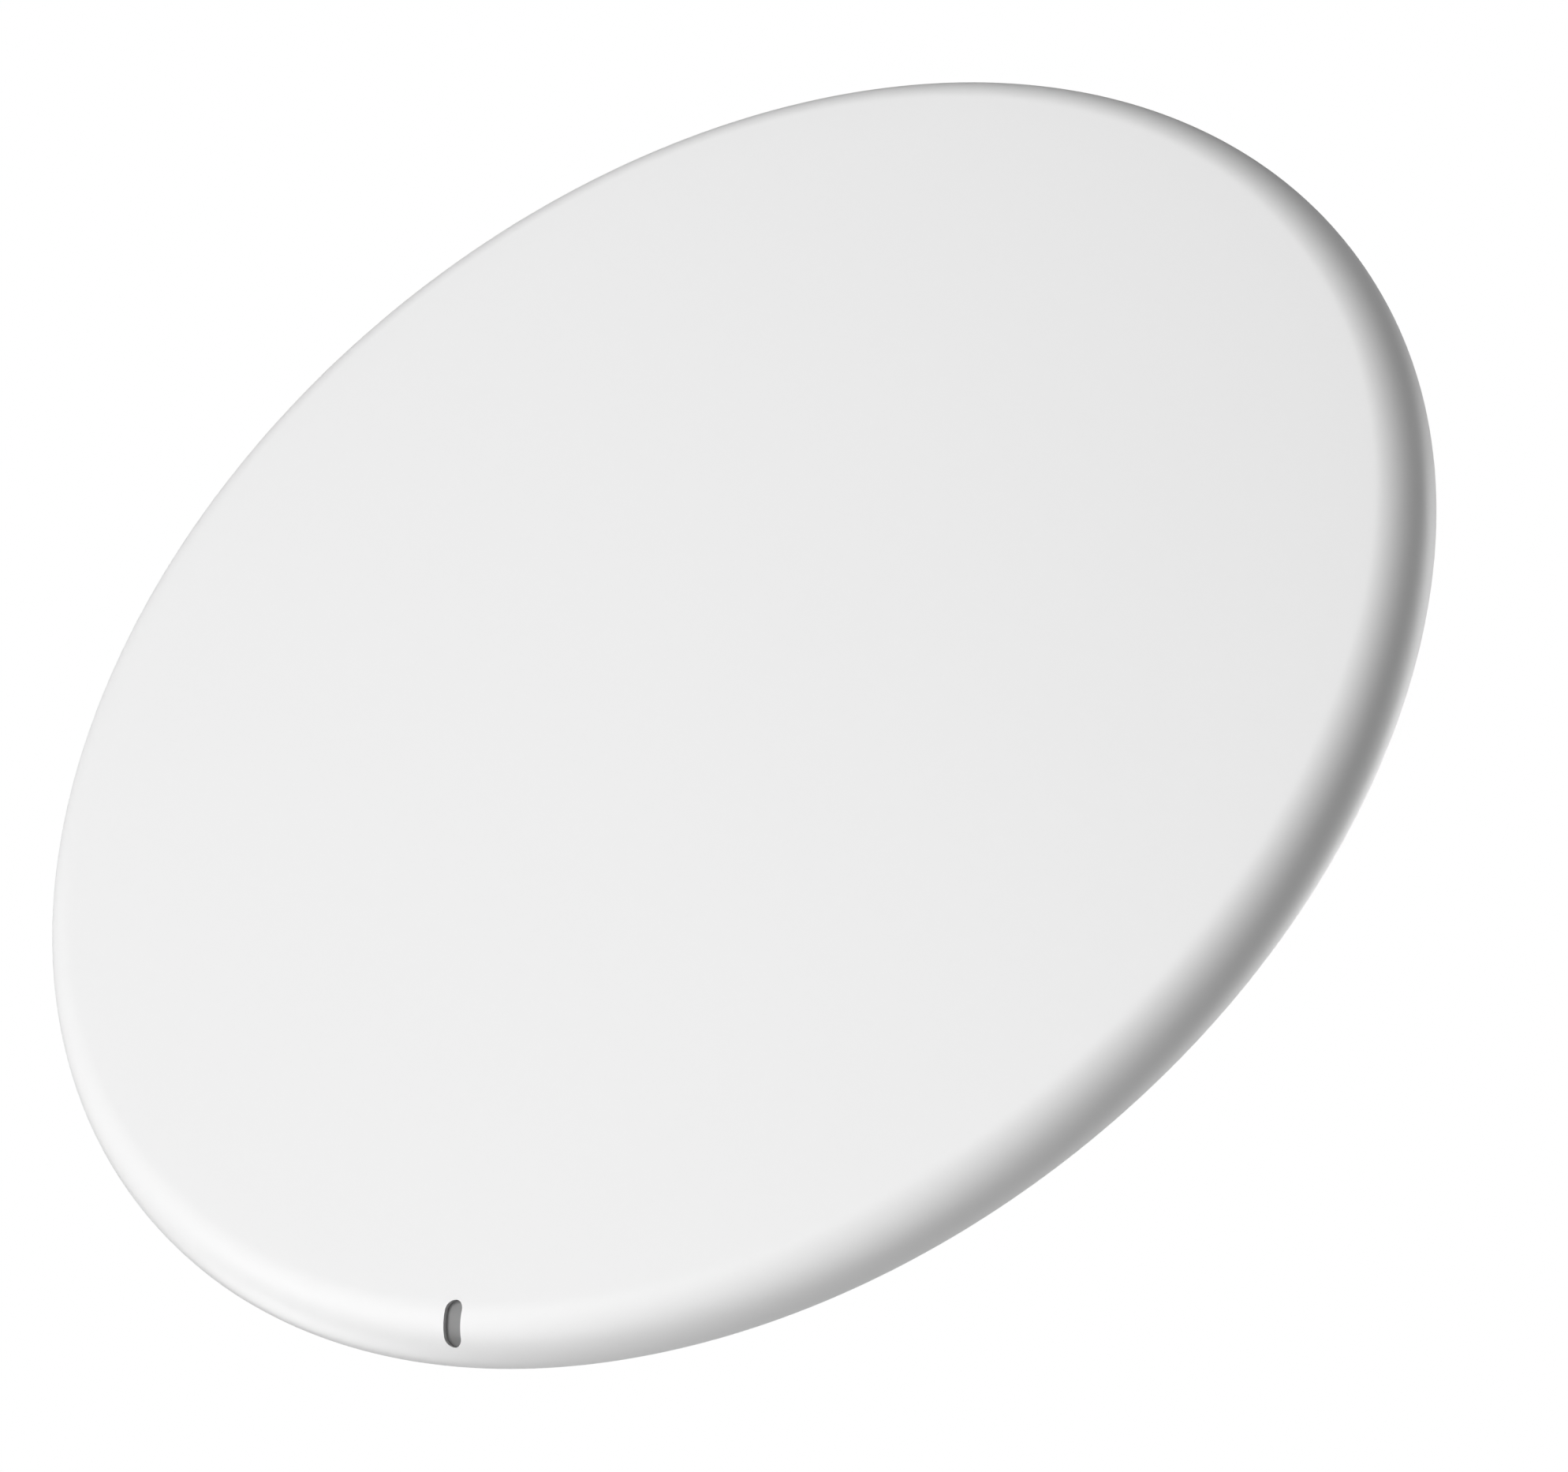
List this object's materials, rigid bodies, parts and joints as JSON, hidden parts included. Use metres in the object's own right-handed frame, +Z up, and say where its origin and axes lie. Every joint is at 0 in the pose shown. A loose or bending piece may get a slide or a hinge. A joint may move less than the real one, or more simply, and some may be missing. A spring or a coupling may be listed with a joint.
{
  "type": "ceiling access point",
  "caption": "Round ceiling wireless access point: smooth white disc with a small recessed status light, flared rear housing with a cable bay, twisting on to a flat ceiling plate.",
  "frame": {"origin": "centre of the ceiling plane, where the back of the mounting plate meets the ceiling, on the axis of the disc", "axes": "+Z up towards the ceiling, along the disc's axis; -Y towards the status light; the cable bay and the keys are on the +Y side; the white face looks down"},
  "size_m": [0.185, 0.185, 0.031],
  "materials": {
    "cover_white": "fine satin white moulded plastic",
    "housing_white": "fine textured white moulded plastic",
    "plate_white": "textured off-white moulded plastic",
    "light_guide": "clear moulded light guide with a frosted end",
    "lamp": "clear lamp body",
    "spring_steel": "bright spring steel",
    "screw_steel": "zinc-plated steel",
    "board_green": "green solder mask over glass-fibre board",
    "plated_shield": "bright nickel-plated sheet",
    "black_moulding": "black moulded plastic",
    "gold_contact": "gold-plated contact",
    "link_light": "tinted clear lamp window",
    "chip_black": "moulded chip package",
    "thermal_pad": "soft grey pad",
    "sink_aluminium": "extruded aluminium",
    "core_ferrite": "dark ferrite and yellow tape",
    "can_aluminium": "capacitor can",
    "antenna_sheet": "tin-plated brass sheet",
    "coax_sheath": "thin fluoropolymer sheath",
    "key_grey": "grey moulded key",
    "label_film": "blank silver-white rating label"
  },
  "bodies": {
    "ceiling_plate": {"mounting_plate": "plate_white", "detent_spring": "spring_steel", "spring_rivets": "screw_steel"},
    "unit": {"front_cover": "cover_white", "light_pipe": "light_guide", "status_led": "lamp", "rear_housing": "housing_white", "cable_bay": "housing_white", "case_screws": "screw_steel", "main_board": "board_green", "board_screws": "screw_steel", "lan_socket_1_shield": "plated_shield", "lan_socket_1_core": "black_moulding", "lan_socket_1_contacts": "gold_contact", "lan_socket_2_shield": "plated_shield", "lan_socket_2_core": "black_moulding", "lan_socket_2_contacts": "gold_contact", "link_lights": "link_light", "power_socket": "black_moulding", "power_socket_pin": "gold_contact", "processor": "chip_black", "heat_pad": "thermal_pad", "heat_sink": "sink_aluminium", "memory_chips": "chip_black", "lan_magnetics": "chip_black", "power_transformer": "core_ferrite", "capacitors": "can_aluminium", "power_inductors": "core_ferrite", "radio_shield_left": "plated_shield", "radio_shield_right": "plated_shield", "folded_antenna_left": "antenna_sheet", "folded_antenna_right": "antenna_sheet", "strip_antenna_left": "board_green", "strip_antenna_right": "board_green", "coax_lead_left": "coax_sheath", "coax_lead_right": "coax_sheath", "coax_plugs": "gold_contact", "mode_switch": "black_moulding", "reset_switch": "black_moulding", "rating_label": "label_film"},
    "mode_key": {"mode_button": "key_grey", "mode_switch_stem": "black_moulding"},
    "reset_key": {"reset_button": "key_grey", "reset_switch_stem": "black_moulding"}
  },
  "joints": [
    {"name": "twist_lock", "type": "hinge", "parent": "ceiling_plate", "child": "unit", "pos_m": [0, 0, 0], "axis": [0, 0, 1], "range_deg": [-30, 0], "deforming": ["detent_spring"]},
    {"name": "mode_key_press", "type": "slide", "parent": "unit", "child": "mode_key", "axis": [0, -1, 0], "range_m": [0, 0.0005], "stiffness_N_per_m": 1500},
    {"name": "reset_key_press", "type": "slide", "parent": "unit", "child": "reset_key", "axis": [0, -1, 0], "range_m": [0, 0.0005], "stiffness_N_per_m": 1500}
  ]
}
